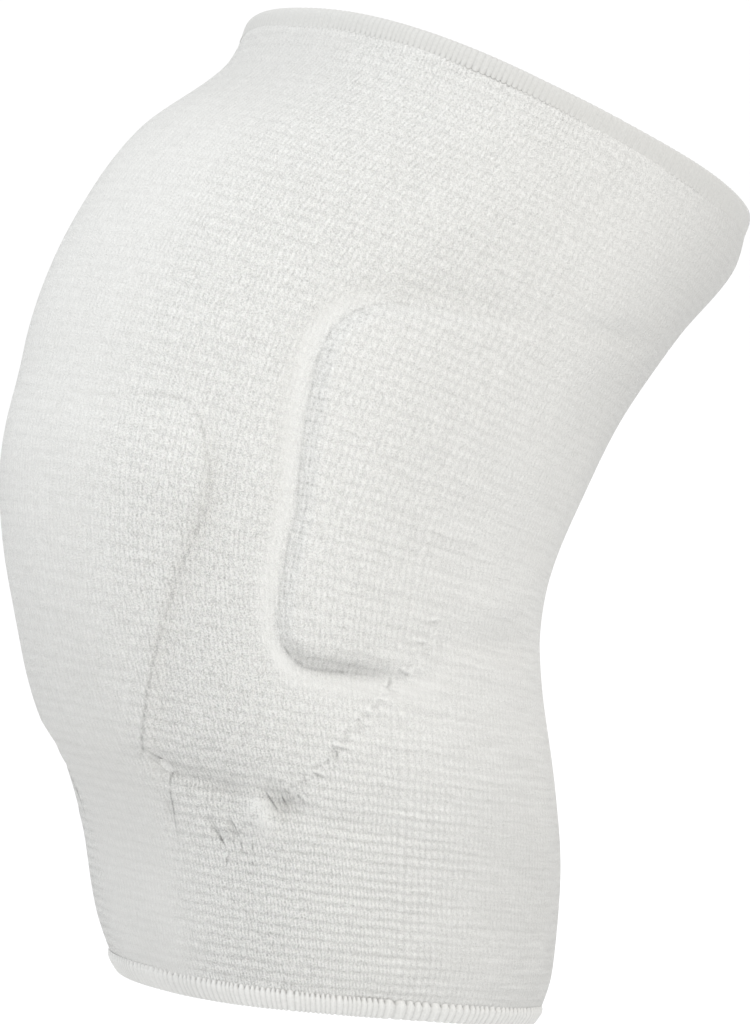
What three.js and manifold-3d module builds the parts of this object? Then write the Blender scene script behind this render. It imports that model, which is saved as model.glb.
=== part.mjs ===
// A volleyball knee pad in its worn form: a knitted sleeve open at both ends, a foam pad over
// the kneecap, a foam pad at each side of the knee and a folded hem band round each opening.
// Lengths are in millimetres and angles in degrees. +Z is up, the front of the knee faces -Y,
// and the plane X = 0 divides the part evenly. The origin is the centre of the knee.
import * as THREE from 'three';
import * as BufferGeometryUtils from 'three/addons/utils/BufferGeometryUtils.js';
import Module from 'manifold-3d';

// Sleeve
const sleeveLength = 234.5;
const kneeHalfDepth = 70;
const kneeHalfWidth = 61;
const knitWall = 2.2;
const shinLean = -3;
const thighLean = 32;
const bendStart = 0.25;
const bendEnd = 0.75;
const sectionPower = 2.3;
const sectionLift = 26.5;

// Hem bands
const hemHeight = 5;
const hemThickness = 3.4;
const hemProud = 0.7;
const hemRoundShare = 0.25;
const hemSaddle = 0.8;
const hemSaddleReach = 35;
const thighHemGrowth = 1.8;
const growthFrom = 0.38;
const growthTo = 0.66;

// Pads
const kneecapPadThickness = 11;
const sidePadThickness = 7;
const padRimShare = 0.3;
const padBevel = 12;
const kneecapRise = 2.6;
const sideRise = 3.6;
const riseWidth = 5;
const riseOutsideShare = 0.25;
const sideRiseFadeFrom = 0.44;
const sideRiseFadeTo = 0.62;
const padCornerRadius = 16;

// Where the rise over the kneecap pad starts and how far it takes to grow, down from its top
// and up from its foot, as shares of the sleeve's length
const kneecapTop = 0.585;
const kneecapTopReach = 0.07;
const kneecapFoot = 0.228;
const kneecapFootReach = 0.022;

// Folds
const foldDepth = 2.6;
const foldWidth = 4;

const clearance = 0.3;

// Facets
const facetsAround = 56;
const outerRows = 40;
const innerRows = 20;
const centreLineSteps = 400;
const padRings = 5;
const padRingCrowding = 1.5;
const cornerSteps = 4;
const edgeStep = 12;

// Sections from the shin edge to the thigh edge. along is a share of the sleeve's length, front
// and back are shares of the half depth, side is a share of the half width, and lift is a share
// of the angle by which the thigh edge's front is tipped up.
const sections = [
  { along: 0.00, front: 0.54, back: 0.92, side: 0.80, lift: 0.32 },
  { along: 0.06, front: 0.60, back: 1.00, side: 0.865, lift: 0.34 },
  { along: 0.16, front: 0.65, back: 1.05, side: 0.90, lift: 0.37 },
  { along: 0.27, front: 0.79, back: 1.035, side: 0.95, lift: 0.415 },
  { along: 0.38, front: 0.89, back: 0.975, side: 0.955, lift: 0.49 },
  { along: 0.50, front: 1.00, back: 0.93, side: 0.975, lift: 0.62 },
  { along: 0.62, front: 1.095, back: 0.935, side: 1.04, lift: 0.75 },
  { along: 0.73, front: 1.115, back: 0.935, side: 1.065, lift: 0.84 },
  { along: 0.84, front: 1.04, back: 0.99, side: 1.085, lift: 0.905 },
  { along: 0.94, front: 0.84, back: 1.085, side: 1.05, lift: 0.96 },
  { along: 1.00, front: 0.83, back: 1.05, side: 1.035, lift: 1.00 },
];

// Pad outlines, corner by corner. along is a share of the sleeve's length, around is a share of
// the half turn from the front (0) to the back (1), and round is a share of the corner radius.
const kneecapOutline = [
  { along: 0.240, around: -0.108, round: 0.25 },
  { along: 0.240, around: 0.108, round: 0.25 },
  { along: 0.500, around: 0.266, round: 1 },
  { along: 0.562, around: 0.215, round: 0.75 },
  { along: 0.562, around: -0.215, round: 0.75 },
  { along: 0.500, around: -0.266, round: 1 },
];
const sideOutline = [
  { along: 0.354, around: 0.343, round: 0.55 },
  { along: 0.366, around: 0.540, round: 0.75 },
  { along: 0.560, around: 0.600, round: 1.25 },
  { along: 0.770, around: 0.560, round: 0.75 },
  { along: 0.706, around: 0.327, round: 1 },
  { along: 0.505, around: 0.366, round: 1.9 },
];

// Folds on each side. along and around place the middle, reach is the half length as a share of
// the half turn, width and depth are shares of the named fold sizes (a negative depth is a
// ridge), and slant turns the fold from level towards upright.
const folds = [
  { name: 'kneecap hollow', along: 0.222, around: 0.235, reach: 0.065, width: 2, depth: 0.8, slant: -6 },
  { name: 'kneecap crease', along: 0.224, around: 0.21, reach: 0.12, width: 0.8, depth: 0.8, slant: 0 },
  { name: 'side pad dimple', along: 0.214, around: 0.335, reach: 0.04, width: 1.2, depth: 1, slant: 0 },
  { name: 'lump', along: 0.203, around: 0.275, reach: 0.04, width: 1, depth: -0.4, slant: 0 },
  { name: 'side pad crease', along: 0.203, around: 0.44, reach: 0.09, width: 0.9, depth: 0.4, slant: -2 },
  { name: 'shin tuck', along: 0.190, around: 0.107, reach: 0.03, width: 0.8, depth: 0.35, slant: 75 },
  { name: 'back crease', along: 0.425, around: 0.66, reach: 0.11, width: 1, depth: 1, slant: 8 },
  { name: 'upper crease', along: 0.79, around: 0.62, reach: 0.07, width: 0.9, depth: 0.5, slant: 8 },
  { name: 'thigh hollow', along: 0.852, around: 0.35, reach: 0.06, width: 1.6, depth: 0.4, slant: 8 },
  { name: 'back ridge', along: 0.70, around: 0.72, reach: 0.20, width: 2, depth: -0.5, slant: 90 },
];

const radians = THREE.MathUtils.degToRad;
const halfGirth = Math.PI * (kneeHalfDepth + kneeHalfWidth) / 2;

function smoothShare(share) {
  const s = Math.min(Math.max(share, 0), 1);
  return s * s * (3 - 2 * s);
}

// A column of the sections table at any share along, on a smooth curve through its rows.
function sectionValue(column, along) {
  const last = sections.length - 1;
  const at = Math.min(Math.max(along, 0), 1);
  let row = 0;
  while (row < last - 1 && sections[row + 1].along <= at) row += 1;
  const slope = (k) => {
    const before = sections[Math.max(k - 1, 0)];
    const after = sections[Math.min(k + 1, last)];
    return (after[column] - before[column]) / (after.along - before.along);
  };
  const from = sections[row];
  const to = sections[row + 1];
  const span = to.along - from.along;
  const s = (at - from.along) / span;
  return (1 + 2 * s) * (1 - s) ** 2 * from[column] + s * (1 - s) ** 2 * span * slope(row)
    + s * s * (3 - 2 * s) * to[column] + s * s * (s - 1) * span * slope(row + 1);
}

// The centre line leans from the shin's angle to the thigh's through the bend. Its middle is
// the origin, and both ends run on straight.
function makeCentreLine() {
  const lean = (along) => {
    const bend = smoothShare((along - bendStart) / (bendEnd - bendStart));
    return radians(shinLean + (thighLean - shinLean) * bend);
  };
  const step = sleeveLength / centreLineSteps;
  const points = [new THREE.Vector2(0, 0)];
  for (let k = 0; k < centreLineSteps; k += 1) {
    const angle = lean((k + 0.5) / centreLineSteps);
    const before = points[k];
    points.push(new THREE.Vector2(before.x + step * Math.sin(angle), before.y + step * Math.cos(angle)));
  }
  const middle = points[centreLineSteps / 2].clone();
  points.forEach((point) => point.sub(middle));
  return (along) => {
    const place = along * centreLineSteps;
    const k = Math.min(Math.max(Math.floor(place), 0), centreLineSteps - 1);
    return points[k].clone().lerp(points[k + 1], place - k);
  };
}

const centreLineAt = makeCentreLine();

// An outline as points in millimetres, x round the sleeve and y along it, its corners rounded.
function outlinePoints(outline) {
  const corners = outline.map((c) => new THREE.Vector2(c.around * halfGirth, c.along * sleeveLength));
  const points = [];
  corners.forEach((corner, k) => {
    const before = corners[(k + corners.length - 1) % corners.length];
    const after = corners[(k + 1) % corners.length];
    const back = before.clone().sub(corner).normalize();
    const on = after.clone().sub(corner).normalize();
    const halfAngle = Math.acos(THREE.MathUtils.clamp(back.dot(on), -1, 1)) / 2;
    const radius = outline[k].round * padCornerRadius;
    const inward = back.clone().add(on).normalize();
    const centre = corner.clone().addScaledVector(inward, radius / Math.sin(halfAngle));
    const start = corner.clone().addScaledVector(back, radius / Math.tan(halfAngle)).sub(centre);
    const end = corner.clone().addScaledVector(on, radius / Math.tan(halfAngle)).sub(centre);
    let turn = end.angle() - start.angle();
    turn -= 2 * Math.PI * Math.round(turn / (2 * Math.PI));
    for (let s = 0; s <= cornerSteps; s += 1) {
      const angle = start.angle() + turn * s / cornerSteps;
      points.push(new THREE.Vector2(Math.cos(angle), Math.sin(angle)).multiplyScalar(radius).add(centre));
    }
  });
  return points;
}

// How far a point lies inside an outline, negative outside it.
function depthInside(points, x, y) {
  let nearest = Infinity;
  let inside = false;
  points.forEach((a, k) => {
    const b = points[(k + 1) % points.length];
    const edge = b.clone().sub(a);
    const share = ((x - a.x) * edge.x + (y - a.y) * edge.y) / edge.lengthSq();
    const s = THREE.MathUtils.clamp(share, 0, 1);
    nearest = Math.min(nearest, Math.hypot(x - a.x - s * edge.x, y - a.y - s * edge.y));
    if ((a.y > y) !== (b.y > y) && x < a.x + (y - a.y) * edge.x / edge.y) inside = !inside;
  });
  return inside ? nearest : -nearest;
}

const kneecapPoints = outlinePoints(kneecapOutline);
const sidePoints = outlinePoints(sideOutline);

// How far the knit stands out over the pads and sinks into the folds.
function relief(along, around) {
  const x = Math.abs(around) * halfGirth;
  const y = along * sleeveLength;
  const step = (points) => smoothShare(depthInside(points, x, y) / riseWidth + riseOutsideShare);
  const fade = smoothShare((sideRiseFadeTo - Math.abs(around)) / (sideRiseFadeTo - sideRiseFadeFrom));
  const fromTop = smoothShare((kneecapTop - along) / kneecapTopReach);
  const fromFoot = smoothShare((along - kneecapFoot) / kneecapFootReach);
  let height = kneecapRise * step(kneecapPoints) * fromTop * fromFoot + sideRise * step(sidePoints) * fade;
  folds.forEach((fold) => {
    const dx = x - fold.around * halfGirth;
    const dy = y - fold.along * sleeveLength;
    const cos = Math.cos(radians(fold.slant));
    const sin = Math.sin(radians(fold.slant));
    const lengthwise = (dx * cos + dy * sin) / (fold.reach * halfGirth);
    const across = (dy * cos - dx * sin) / (fold.width * foldWidth);
    height -= fold.depth * foldDepth * Math.exp(-(lengthwise ** 2) - across ** 2);
  });
  return height;
}

// A point of the sleeve's surface, moved outward from it.
function sleevePoint(along, around, outward) {
  const angle = around * Math.PI;
  const cos = Math.cos(angle);
  const sin = Math.sin(angle);
  const depth = sectionValue(cos > 0 ? 'front' : 'back', along) * kneeHalfDepth;
  const width = sectionValue('side', along) * kneeHalfWidth;
  const lift = radians(sectionValue('lift', along) * sectionLift);
  const forwardShare = Math.sign(cos) * Math.abs(cos) ** (2 / sectionPower);
  const sideShare = Math.sign(sin) * Math.abs(sin) ** (2 / sectionPower);
  const forwardNormal = Math.sign(cos) * Math.abs(forwardShare) ** (sectionPower - 1) / depth;
  const sideNormal = Math.sign(sin) * Math.abs(sideShare) ** (sectionPower - 1) / width;
  const size = Math.hypot(forwardNormal, sideNormal);
  const forward = depth * forwardShare + outward * forwardNormal / size;
  const side = width * sideShare + outward * sideNormal / size;
  const toEdge = Math.min(along, 1 - along) * sleeveLength;
  const saddle = Math.max(1 - toEdge / hemSaddleReach, 0) ** 2 * hemSaddle * Math.cos(2 * angle);
  const centre = centreLineAt(along + (along > 0.5 ? saddle : -saddle) / sleeveLength);
  return new THREE.Vector3(side, centre.x - forward * Math.cos(lift), centre.y + forward * Math.sin(lift));
}

// A body from rings of points that each go once round it, closed by a point at each end, or
// joined end to end. Each four-sided patch is split along one diagonal or along the other.
function bodyFromRings(rings, endPoints, otherDiagonal = false) {
  const count = rings[0].length;
  const positions = rings.flat().concat(endPoints).flatMap((p) => [p.x, p.y, p.z]);
  const index = [];
  const joins = endPoints.length ? rings.length - 1 : rings.length;
  for (let r = 0; r < joins; r += 1) {
    const next = (r + 1) % rings.length;
    for (let k = 0; k < count; k += 1) {
      const a = r * count + k;
      const b = r * count + (k + 1) % count;
      const c = next * count + k;
      const d = next * count + (k + 1) % count;
      if (otherDiagonal) index.push(a, b, c, b, d, c);
      else index.push(a, b, d, a, d, c);
    }
  }
  if (endPoints.length) {
    const first = rings.length * count;
    const top = (rings.length - 1) * count;
    for (let k = 0; k < count; k += 1) {
      index.push(first, (k + 1) % count, k);
      index.push(first + 1, top + k, top + (k + 1) % count);
    }
  }
  const geometry = new THREE.BufferGeometry();
  geometry.setAttribute('position', new THREE.Float32BufferAttribute(positions, 3));
  geometry.setIndex(index);
  return geometry;
}

const wasm = await Module();
wasm.setup();

function toSolid(geometry) {
  const bare = geometry.clone();
  bare.deleteAttribute('normal');
  bare.deleteAttribute('uv');
  const merged = BufferGeometryUtils.mergeVertices(bare);
  return new wasm.Manifold(new wasm.Mesh({
    numProp: 3,
    vertProperties: new Float32Array(merged.attributes.position.array),
    triVerts: new Uint32Array(merged.index.array),
  }));
}

function toGeometry(solid) {
  const mesh = solid.getMesh();
  const geometry = new THREE.BufferGeometry();
  geometry.setAttribute('position', new THREE.Float32BufferAttribute(mesh.vertProperties, 3));
  geometry.setIndex(Array.from(mesh.triVerts));
  return geometry;
}

const knitStart = (hemHeight + clearance) / sleeveLength;
const knitEnd = 1 - knitStart;

// One ring of the sleeve, following the relief at its place.
function sleeveRing(along, outward) {
  const ring = [];
  for (let k = 0; k < facetsAround; k += 1) {
    const around = 2 * k / facetsAround - 1;
    ring.push(sleevePoint(along, around, outward + relief(along, around)));
  }
  return ring;
}

function knitRings(rows, outward) {
  const rings = [];
  for (let r = 0; r <= rows; r += 1) {
    rings.push(sleeveRing(knitStart + (knitEnd - knitStart) * r / rows, outward));
  }
  return rings;
}

// The knitted tube: up the outside, over the thigh edge and down the inside.
function makeSleeve() {
  const outside = knitRings(outerRows, 0);
  const inside = knitRings(innerRows, -knitWall);
  return bodyFromRings([...outside, ...inside.reverse()], []);
}

function middleOf(points, zero) {
  return points.reduce((sum, p) => sum.add(p), zero).divideScalar(points.length);
}

// The room inside the knit, less the clearance, as a closed body. Its patches are split like
// those of the tube's inner wall, which is seen from the other side.
function makeRoomInside() {
  const rings = knitRings(innerRows, -knitWall - clearance);
  const ends = [rings[0], rings[innerRows]].map((ring) => middleOf(ring, new THREE.Vector3()));
  return toSolid(bodyFromRings(rings, ends, true));
}

// A hem band: a folded edge with a rounded section, standing a little proud of the knit. It
// grows taller towards the back by the growth.
function makeHem(edgeAlong, growth) {
  const outside = hemProud;
  const inside = hemProud - hemThickness;
  const middle = (outside + inside) / 2;
  const rounding = hemRoundShare * hemThickness;
  const profile = [
    { outward: outside - rounding, up: 0 },
    { outward: outside, up: hemRoundShare },
    { outward: outside, up: 1 - hemRoundShare },
    { outward: middle, up: 1 },
    { outward: inside, up: 1 - hemRoundShare },
    { outward: inside, up: hemRoundShare },
    { outward: inside + rounding, up: 0 },
  ];
  const outwards = edgeAlong > 0.5 ? 1 : -1;
  const rings = profile.map((corner) => {
    const ring = [];
    for (let k = 0; k < facetsAround; k += 1) {
      const around = 2 * k / facetsAround - 1;
      const grown = growth * smoothShare((Math.abs(around) - growthFrom) / (growthTo - growthFrom));
      const fromStitches = corner.up * (hemHeight + grown) - hemHeight;
      ring.push(sleevePoint(edgeAlong + outwards * fromStitches / sleeveLength, around, corner.outward));
    }
    return ring;
  });
  if (outwards < 0) rings.reverse();
  return bodyFromRings(rings, []);
}

// The outline with its long edges divided, so that the pad bends with the sleeve.
function dividedOutline(points) {
  const divided = [];
  points.forEach((point, k) => {
    const next = points[(k + 1) % points.length];
    const parts = Math.max(1, Math.round(point.distanceTo(next) / edgeStep));
    for (let s = 0; s < parts; s += 1) {
      divided.push(point.clone().lerp(next, s / parts));
    }
  });
  return divided;
}

// A foam pad: thin at its rim, full past its bevel, its outer face lying along the knit. It is
// made a little too thick on the outside and trimmed to the room inside the sleeve.
function makePad(points, thickness, mirror, room) {
  const rim = dividedOutline(points);
  const middle = middleOf(rim, new THREE.Vector2());
  const facePoint = (flat, outward) => {
    const along = flat.y / sleeveLength;
    const around = flat.x / halfGirth;
    const point = sleevePoint(along, around, outward + relief(along, around));
    if (mirror) point.x = -point.x;
    return point;
  };
  const innerOutward = (flat) => {
    const share = smoothShare(depthInside(points, flat.x, flat.y) / padBevel);
    return -knitWall - clearance - thickness * (padRimShare + (1 - padRimShare) * share);
  };
  const ringAt = (share, outwardAt) => rim.map((p) => {
    const flat = middle.clone().lerp(p, share);
    return facePoint(flat, outwardAt(flat));
  });
  const outer = [];
  const inner = [];
  for (let r = 1; r <= padRings; r += 1) {
    const share = 1 - (1 - r / padRings) ** padRingCrowding;
    outer.push(ringAt(share, () => -knitWall / 2));
    inner.push(ringAt(share, innerOutward));
  }
  const ends = [facePoint(middle, -knitWall / 2), facePoint(middle, innerOutward(middle))];
  const rings = [...outer, ...inner.reverse()];
  if (!mirror) rings.forEach((ring) => ring.reverse());
  return toGeometry(toSolid(bodyFromRings(rings, ends)).intersect(room));
}

function addPiece(group, name, geometry, material) {
  const mesh = new THREE.Mesh(geometry, material);
  mesh.name = name;
  group.add(mesh);
}

function knitMaterial() {
  return new THREE.MeshStandardMaterial({ color: 0xe9e9e6, roughness: 0.95, metalness: 0 });
}

function hemMaterial() {
  return new THREE.MeshStandardMaterial({ color: 0xe6e6e2, roughness: 0.95, metalness: 0 });
}

function foamMaterial() {
  return new THREE.MeshStandardMaterial({ color: 0xe2e2de, roughness: 0.9, metalness: 0 });
}

const kneePad = new THREE.Group();
const room = makeRoomInside();
addPiece(kneePad, 'sleeve', makeSleeve(), knitMaterial());
addPiece(kneePad, 'thigh_hem', makeHem(1, thighHemGrowth), hemMaterial());
addPiece(kneePad, 'shin_hem', makeHem(0, 0), hemMaterial());
addPiece(kneePad, 'kneecap_pad', makePad(kneecapPoints, kneecapPadThickness, false, room), foamMaterial());
addPiece(kneePad, 'side_pad_outer', makePad(sidePoints, sidePadThickness, false, room), foamMaterial());
addPiece(kneePad, 'side_pad_inner', makePad(sidePoints, sidePadThickness, true, room), foamMaterial());

export default kneePad;
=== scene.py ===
import math

import bpy
import numpy as np
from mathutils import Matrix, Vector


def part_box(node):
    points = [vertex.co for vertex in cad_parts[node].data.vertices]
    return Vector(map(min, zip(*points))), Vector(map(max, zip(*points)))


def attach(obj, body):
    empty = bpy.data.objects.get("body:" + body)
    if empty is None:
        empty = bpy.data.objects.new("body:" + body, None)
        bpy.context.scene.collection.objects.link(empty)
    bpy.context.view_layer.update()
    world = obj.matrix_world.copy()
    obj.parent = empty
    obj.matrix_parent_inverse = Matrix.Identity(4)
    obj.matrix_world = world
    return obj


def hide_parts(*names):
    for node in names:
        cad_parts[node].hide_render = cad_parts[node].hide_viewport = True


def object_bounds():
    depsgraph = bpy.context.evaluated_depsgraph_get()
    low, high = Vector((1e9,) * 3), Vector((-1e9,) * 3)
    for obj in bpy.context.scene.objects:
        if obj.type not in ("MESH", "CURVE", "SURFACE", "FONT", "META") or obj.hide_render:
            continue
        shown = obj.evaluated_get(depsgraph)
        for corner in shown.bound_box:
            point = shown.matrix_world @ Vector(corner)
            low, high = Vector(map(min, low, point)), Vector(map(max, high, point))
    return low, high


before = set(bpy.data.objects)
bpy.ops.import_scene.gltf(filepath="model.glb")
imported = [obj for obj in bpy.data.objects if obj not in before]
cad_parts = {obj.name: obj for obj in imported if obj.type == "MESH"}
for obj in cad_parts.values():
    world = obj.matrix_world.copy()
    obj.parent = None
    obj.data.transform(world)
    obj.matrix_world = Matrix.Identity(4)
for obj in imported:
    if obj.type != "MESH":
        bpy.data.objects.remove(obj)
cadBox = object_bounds()
print("frame loaded")

# Lengths are in metres. The front of the knee faces -Y and the seen side is +X.
# along runs from the shin edge (0) to the thigh edge (1), around from the front (0) to the back (1, -1).

kneeForm = {
    "length": 0.2345,
    "halfDepth": 0.070,
    "halfWidth": 0.061,
    "shinLean": -3.0,
    "thighLean": 32.0,
    "bendStart": 0.25,
    "bendEnd": 0.75,
    "sectionPower": 2.3,
    "sectionLift": 26.5,
    "hemSaddle": 0.0008,
    "hemSaddleReach": 0.035,
}

# front and back are shares of the half depth, side of the half width, lift of the section lift
sections = {
    "along": [0.00, 0.06, 0.16, 0.27, 0.38, 0.50, 0.62, 0.73, 0.84, 0.94, 1.00],
    "front": [0.54, 0.60, 0.65, 0.79, 0.89, 1.00, 1.095, 1.115, 1.04, 0.84, 0.83],
    "back": [0.92, 1.00, 1.05, 1.035, 0.975, 0.93, 0.935, 0.935, 0.99, 1.085, 1.05],
    "side": [0.80, 0.865, 0.90, 0.95, 0.955, 0.975, 1.04, 1.065, 1.085, 1.05, 1.035],
    "lift": [0.32, 0.34, 0.37, 0.415, 0.49, 0.62, 0.75, 0.84, 0.905, 0.96, 1.00],
}

sleeveLength = kneeForm["length"]
halfGirth = math.pi * (kneeForm["halfDepth"] + kneeForm["halfWidth"]) / 2


def smoothShare(value):
    s = np.clip(value, 0, 1)
    return s * s * (3 - 2 * s)


def rising(value, limits):  # 0 at the first limit, 1 at the second
    return smoothShare((value - limits[0]) / (limits[1] - limits[0]))


def bump(value):  # 1 at 0, fading out past 1
    return np.exp(-np.square(value))


def sectionValue(column, along):
    xs, ys = np.array(sections["along"]), np.array(sections[column])
    at = np.clip(along, 0, 1)
    row = np.clip(np.searchsorted(xs, at, side="right") - 1, 0, len(xs) - 2)
    slope = np.empty(len(xs))
    slope[1:-1] = (ys[2:] - ys[:-2]) / (xs[2:] - xs[:-2])
    slope[0] = (ys[1] - ys[0]) / (xs[1] - xs[0])
    slope[-1] = (ys[-1] - ys[-2]) / (xs[-1] - xs[-2])
    span = xs[row + 1] - xs[row]
    s = (at - xs[row]) / span
    return ((1 + 2 * s) * (1 - s) ** 2 * ys[row] + s * (1 - s) ** 2 * span * slope[row]
            + s * s * (3 - 2 * s) * ys[row + 1] + s * s * (s - 1) * span * slope[row + 1])


def centreLine(along, steps=400):  # y and z of the middle of the leg, the bend's middle at the origin
    middles = (np.arange(steps) + 0.5) / steps
    bend = rising(middles, (kneeForm["bendStart"], kneeForm["bendEnd"]))
    lean = np.radians(kneeForm["shinLean"] + (kneeForm["thighLean"] - kneeForm["shinLean"]) * bend)
    step = sleeveLength / steps
    y = np.concatenate([[0], np.cumsum(step * np.sin(lean))])
    z = np.concatenate([[0], np.cumsum(step * np.cos(lean))])
    y, z = y - y[steps // 2], z - z[steps // 2]
    place = np.asarray(along, float) * steps
    k = np.clip(np.floor(place).astype(int), 0, steps - 1)
    s = place - k
    return y[k] + s * (y[k + 1] - y[k]), z[k] + s * (z[k + 1] - z[k])


def sleevePoint(along, around, outward):
    along, around = np.broadcast_arrays(np.asarray(along, float), np.asarray(around, float))
    angle = around * math.pi
    cos, sin = np.cos(angle), np.sin(angle)
    depth = np.where(cos > 0, sectionValue("front", along), sectionValue("back", along))
    depth = depth * kneeForm["halfDepth"]
    width = sectionValue("side", along) * kneeForm["halfWidth"]
    lift = np.radians(sectionValue("lift", along) * kneeForm["sectionLift"])
    power = kneeForm["sectionPower"]
    forwardShare = np.sign(cos) * np.abs(cos) ** (2 / power)
    sideShare = np.sign(sin) * np.abs(sin) ** (2 / power)
    forwardNormal = np.sign(cos) * np.abs(forwardShare) ** (power - 1) / depth
    sideNormal = np.sign(sin) * np.abs(sideShare) ** (power - 1) / width
    size = np.hypot(forwardNormal, sideNormal)
    forward = depth * forwardShare + outward * forwardNormal / size
    side = width * sideShare + outward * sideNormal / size
    toEdge = np.minimum(along, 1 - along) * sleeveLength
    saddle = np.clip(1 - toEdge / kneeForm["hemSaddleReach"], 0, None) ** 2 * kneeForm["hemSaddle"]
    saddle = saddle * np.cos(2 * angle) * np.where(along > 0.5, 1, -1)
    y, z = centreLine(along + saddle / sleeveLength)
    return np.stack([side, y - forward * np.cos(lift), z + forward * np.sin(lift)], axis=-1)


# Pads, folds and the pocket's seam, laid out on the sleeve

# Corners are (along, around, share of the corner radius). A pair of places gives where something starts
# and where it is full, along or round the sleeve.
padForm = {
    "cornerRadius": 0.016,
    "kneecapCorners": [
        (0.240, -0.108, 0.25), (0.240, 0.108, 0.25), (0.500, 0.266, 1), (0.578, 0.222, 0.55),
        (0.556, 0.0, 1), (0.578, -0.222, 0.55), (0.500, -0.266, 1),
    ],
    "sideCorners": [
        (0.354, 0.343, 0.55), (0.366, 0.540, 0.75), (0.560, 0.600, 1.25), (0.770, 0.560, 0.75),
        (0.706, 0.327, 1), (0.505, 0.366, 1.9),
    ],
    "kneecapRise": 0.0026,
    "sideRise": 0.0036,
    "riseWidth": 0.0045,
    "riseStart": 0.15,  # share of the width by which the rise starts outside the pad
    "kneecapFromTop": (0.600, 0.490),
    "kneecapFromFoot": (0.195, 0.243),
    "topCorners": 0.55,  # corners above this place are the top ones, those below the next are the foot's
    "footCorners": 0.3,
    "topRunOn": 0.045,  # the rise runs on past the pad's top and foot, where it fades
    "footRunOn": 0.040,
    "sideFade": (0.585, 0.42),
    "crown": 0.0010,
    "crownReach": 0.018,
    "valley": 0.0008,
    "valleyPlace": 0.0030,
    "valleyWidth": 0.0030,
    "valleyFoot": (0.42, 0.52),
    "kneecapThickness": 0.011,
    "sideThickness": 0.007,
    "clearance": 0.0004,
    "rimShare": 0.3,
    "rimStep": 0.002,
    "rimDrop": 0.0012,
    "rimDropReach": 0.002,
    "bevel": 0.012,
    "rings": 24,
    "ringCrowding": 1.4,
}

# Each fold is (along, around, slant in degrees) of its middle, then its half length as a share of the half
# turn, and its width and depth in metres. A negative depth is a ridge.
folds = [
    ((0.222, 0.235, -6), 0.065, 0.0080, 0.0024),
    ((0.226, 0.190, -7), 0.100, 0.0026, 0.0022),
    ((0.237, 0.131, -33), 0.018, 0.0016, 0.0010),
    ((0.216, 0.326, -12), 0.034, 0.0034, 0.0034),
    ((0.200, 0.284, -20), 0.030, 0.0042, -0.0026),
    ((0.203, 0.440, -3), 0.080, 0.0030, 0.0011),
    ((0.190, 0.112, 80), 0.017, 0.0013, 0.0010),
    ((0.176, 0.196, -45), 0.016, 0.0013, 0.0014),
    ((0.182, 0.226, -55), 0.014, 0.0012, 0.0013),
    ((0.421, 0.640, 7), 0.100, 0.0038, 0.0020),
    ((0.446, 0.655, 9), 0.070, 0.0030, 0.0008),
    ((0.790, 0.620, 10), 0.070, 0.0030, 0.0014),
    ((0.852, 0.350, 8), 0.055, 0.0060, 0.0012),
    ((0.700, 0.720, 90), 0.200, 0.0080, -0.0012),
    ((0.250, 0.740, 90), 0.180, 0.0060, -0.0009),
]


def roundedOutline(corners, arcSteps=8):  # x round the sleeve and y along it
    points = np.array([(around * halfGirth, along * sleeveLength)
                       for along, around, share in corners])
    outline = []
    for k in range(len(points)):
        here = points[k]
        back, on = points[k - 1] - here, points[(k + 1) % len(points)] - here
        back, on = back / np.linalg.norm(back), on / np.linalg.norm(on)
        halfAngle = math.acos(float(np.clip(back @ on, -1, 1))) / 2
        radius = corners[k][2] * padForm["cornerRadius"]
        centre = here + (back + on) / np.linalg.norm(back + on) * radius / math.sin(halfAngle)
        start = here + back * radius / math.tan(halfAngle) - centre
        end = here + on * radius / math.tan(halfAngle) - centre
        startAngle = math.atan2(start[1], start[0])
        turn = (math.atan2(end[1], end[0]) - startAngle + math.pi) % (2 * math.pi) - math.pi
        for angle in startAngle + turn * np.linspace(0, 1, arcSteps):
            outline.append(centre + radius * np.array([math.cos(angle), math.sin(angle)]))
    return np.array(outline)


def edgePlace(a, b, x, y):  # distance to the edge from a to b, and the share of its length
    edge = b - a
    s = np.clip(((x - a[0]) * edge[0] + (y - a[1]) * edge[1]) / max(edge @ edge, 1e-12), 0, 1)
    return np.hypot(x - a[0] - s * edge[0], y - a[1] - s * edge[1]), s


def depthInside(outline, x, y):  # distance to the outline, positive inside it
    nearest = np.full(np.shape(x), 1.0)
    inside = np.zeros(np.shape(x), bool)
    for a, b in zip(outline, np.roll(outline, -1, axis=0)):
        nearest = np.minimum(nearest, edgePlace(a, b, x, y)[0])
        if a[1] != b[1]:
            inside ^= ((a[1] > y) != (b[1] > y)) & (x < a[0] + (y - a[1]) * (b[0] - a[0]) / (b[1] - a[1]))
    return np.where(inside, nearest, -nearest)


def runOn(along):  # how far the rise goes on past the pad at this corner
    if along > padForm["topCorners"]:
        return padForm["topRunOn"]
    return -padForm["footRunOn"] if along < padForm["footCorners"] else 0


def slantPlace(spot, x, y):  # places lengthwise and across at a spot that lies aslant on the sleeve
    along, around, slant = spot
    dx, dy = x - around * halfGirth, y - along * sleeveLength
    cos, sin = math.cos(math.radians(slant)), math.sin(math.radians(slant))
    return dx * cos + dy * sin, dy * cos - dx * sin


def spotShare(spot, reach, width, x, y):  # 1 in the middle of the spot, fading out over it
    lengthwise, across = slantPlace(spot, x, y)
    return bump(lengthwise / (reach * halfGirth)) * bump(across / width)


kneecapOutline = roundedOutline(padForm["kneecapCorners"])
kneecapRiseOutline = roundedOutline([(along + runOn(along), around, share)
                                     for along, around, share in padForm["kneecapCorners"]])
sideOutline = roundedOutline(padForm["sideCorners"])


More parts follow.
